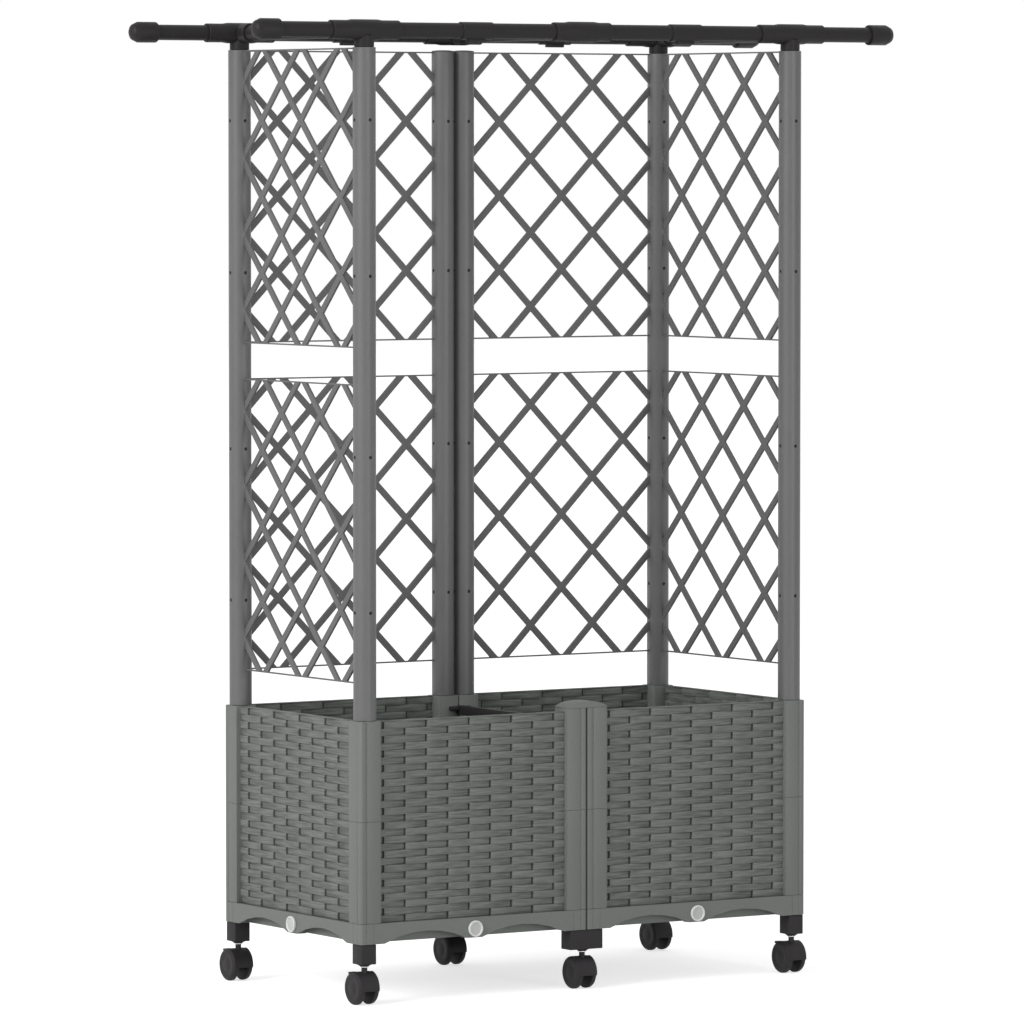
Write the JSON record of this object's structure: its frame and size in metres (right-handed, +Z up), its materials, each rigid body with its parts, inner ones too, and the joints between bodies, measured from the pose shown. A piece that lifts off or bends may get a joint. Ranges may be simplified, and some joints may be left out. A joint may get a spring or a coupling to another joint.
{
  "type": "planter with trellis",
  "caption": "Rolling rectangular planter with woven-look sides, posts and diagonal lattice panels around three sides, and a flat roof frame of tubes.",
  "frame": {"origin": "on the floor, at the centre of the footprint", "axes": "+X along the front from left to right, +Y from the open front to the lattice at the back, +Z up"},
  "size_m": [1.136, 0.4236, 1.4489],
  "materials": {
    "grey_plastic": "satin",
    "black_plastic": "satin",
    "black_tube": "satin",
    "plug_plastic": "satin"
  },
  "bodies": {
    "planter": {"tray_left": "grey_plastic", "tray_right": "grey_plastic", "woven_panel_front_left": "grey_plastic", "woven_panel_back_left": "grey_plastic", "woven_panel_front_right": "grey_plastic", "woven_panel_back_right": "grey_plastic", "woven_panel_left": "grey_plastic", "woven_panel_right": "grey_plastic", "corner_column_front_left": "grey_plastic", "corner_column_front_right": "grey_plastic", "corner_column_back_left": "grey_plastic", "corner_column_back_right": "grey_plastic", "middle_columns_front": "grey_plastic", "middle_columns_back": "grey_plastic", "post_front_left": "grey_plastic", "post_front_right": "grey_plastic", "post_back_left": "grey_plastic", "post_back_right": "grey_plastic", "post_middle_left": "grey_plastic", "post_middle_right": "grey_plastic", "lattice_back_left_lower": "grey_plastic", "lattice_back_right_lower": "grey_plastic", "lattice_left_lower": "grey_plastic", "lattice_right_lower": "grey_plastic", "lattice_back_left_upper": "grey_plastic", "lattice_back_right_upper": "grey_plastic", "lattice_left_upper": "grey_plastic", "lattice_right_upper": "grey_plastic", "castor_socket_front_left": "black_plastic", "castor_socket_front_right": "black_plastic", "castor_socket_back_left": "black_plastic", "castor_socket_back_right": "black_plastic", "tie_bar": "black_plastic", "roof_rail_front": "black_tube", "roof_rail_back": "black_tube", "cross_tube_left": "black_tube", "cross_tube_middle": "black_tube", "cross_tube_right": "black_tube"},
    "castor_front_left": {"castor_housing_front_left": "black_plastic"},
    "wheels_front_left": {"castor_wheels_front_left": "black_plastic"},
    "pedal_front_left": {"brake_pedal_front_left": "black_plastic"},
    "castor_front_middle": {"castor_housing_front_middle": "black_plastic"},
    "wheels_front_middle": {"castor_wheels_front_middle": "black_plastic"},
    "castor_front_right": {"castor_housing_front_right": "black_plastic"},
    "wheels_front_right": {"castor_wheels_front_right": "black_plastic"},
    "pedal_front_right": {"brake_pedal_front_right": "black_plastic"},
    "castor_back_left": {"castor_housing_back_left": "black_plastic"},
    "wheels_back_left": {"castor_wheels_back_left": "black_plastic"},
    "pedal_back_left": {"brake_pedal_back_left": "black_plastic"},
    "castor_back_middle": {"castor_housing_back_middle": "black_plastic"},
    "wheels_back_middle": {"castor_wheels_back_middle": "black_plastic"},
    "castor_back_right": {"castor_housing_back_right": "black_plastic"},
    "wheels_back_right": {"castor_wheels_back_right": "black_plastic"},
    "pedal_back_right": {"brake_pedal_back_right": "black_plastic"},
    "plug_left": {"drain_plug_left": "plug_plastic"},
    "plug_front_left": {"drain_plug_front_left": "plug_plastic"},
    "plug_back_left": {"drain_plug_back_left": "plug_plastic"},
    "plug_right": {"drain_plug_right": "plug_plastic"},
    "plug_front_right": {"drain_plug_front_right": "plug_plastic"},
    "plug_back_right": {"drain_plug_back_right": "plug_plastic"}
  },
  "joints": [
    {"name": "castor_swivel_front_left", "type": "hinge", "parent": "planter", "child": "castor_front_left", "pos_m": [-0.3824, -0.19345, 0.053], "axis": [0, 0, 1], "continuous": true},
    {"name": "wheel_spin_front_left", "type": "hinge", "parent": "castor_front_left", "child": "wheels_front_left", "pos_m": [-0.3824, -0.18645, 0.0245], "axis": [1, 0, 0], "continuous": true},
    {"name": "brake_pedal_tilt_front_left", "type": "hinge", "parent": "castor_front_left", "child": "pedal_front_left", "pos_m": [-0.3824, -0.17545, 0.0415], "axis": [1, 0, 0], "range_deg": [0, 20]},
    {"name": "castor_swivel_front_middle", "type": "hinge", "parent": "planter", "child": "castor_front_middle", "pos_m": [0, -0.19345, 0.053], "axis": [0, 0, 1], "continuous": true},
    {"name": "wheel_spin_front_middle", "type": "hinge", "parent": "castor_front_middle", "child": "wheels_front_middle", "pos_m": [0, -0.18645, 0.0245], "axis": [1, 0, 0], "continuous": true},
    {"name": "castor_swivel_front_right", "type": "hinge", "parent": "planter", "child": "castor_front_right", "pos_m": [0.3824, -0.19345, 0.053], "axis": [0, 0, 1], "continuous": true},
    {"name": "wheel_spin_front_right", "type": "hinge", "parent": "castor_front_right", "child": "wheels_front_right", "pos_m": [0.3824, -0.18645, 0.0245], "axis": [1, 0, 0], "continuous": true},
    {"name": "brake_pedal_tilt_front_right", "type": "hinge", "parent": "castor_front_right", "child": "pedal_front_right", "pos_m": [0.3824, -0.17545, 0.0415], "axis": [1, 0, 0], "range_deg": [0, 20]},
    {"name": "castor_swivel_back_left", "type": "hinge", "parent": "planter", "child": "castor_back_left", "pos_m": [-0.3824, 0.17375, 0.053], "axis": [0, 0, 1], "continuous": true},
    {"name": "wheel_spin_back_left", "type": "hinge", "parent": "castor_back_left", "child": "wheels_back_left", "pos_m": [-0.3824, 0.18075, 0.0245], "axis": [1, 0, 0], "continuous": true},
    {"name": "brake_pedal_tilt_back_left", "type": "hinge", "parent": "castor_back_left", "child": "pedal_back_left", "pos_m": [-0.3824, 0.19175, 0.0415], "axis": [1, 0, 0], "range_deg": [0, 20]},
    {"name": "castor_swivel_back_middle", "type": "hinge", "parent": "planter", "child": "castor_back_middle", "pos_m": [0, 0.17375, 0.053], "axis": [0, 0, 1], "continuous": true},
    {"name": "wheel_spin_back_middle", "type": "hinge", "parent": "castor_back_middle", "child": "wheels_back_middle", "pos_m": [0, 0.18075, 0.0245], "axis": [1, 0, 0], "continuous": true},
    {"name": "castor_swivel_back_right", "type": "hinge", "parent": "planter", "child": "castor_back_right", "pos_m": [0.3824, 0.17375, 0.053], "axis": [0, 0, 1], "continuous": true},
    {"name": "wheel_spin_back_right", "type": "hinge", "parent": "castor_back_right", "child": "wheels_back_right", "pos_m": [0.3824, 0.18075, 0.0245], "axis": [1, 0, 0], "continuous": true},
    {"name": "brake_pedal_tilt_back_right", "type": "hinge", "parent": "castor_back_right", "child": "pedal_back_right", "pos_m": [0.3824, 0.19175, 0.0415], "axis": [1, 0, 0], "range_deg": [0, 20]},
    {"name": "plug_pull_left", "type": "slide", "parent": "planter", "child": "plug_left", "axis": [-1, 0, 0], "range_m": [0, 0.025]},
    {"name": "plug_pull_front_left", "type": "slide", "parent": "planter", "child": "plug_front_left", "axis": [0, -1, 0], "range_m": [0, 0.025]},
    {"name": "plug_pull_back_left", "type": "slide", "parent": "planter", "child": "plug_back_left", "axis": [0, 1, 0], "range_m": [0, 0.025]},
    {"name": "plug_pull_right", "type": "slide", "parent": "planter", "child": "plug_right", "axis": [1, 0, 0], "range_m": [0, 0.025]},
    {"name": "plug_pull_front_right", "type": "slide", "parent": "planter", "child": "plug_front_right", "axis": [0, -1, 0], "range_m": [0, 0.025]},
    {"name": "plug_pull_back_right", "type": "slide", "parent": "planter", "child": "plug_back_right", "axis": [0, 1, 0], "range_m": [0, 0.025]}
  ]
}
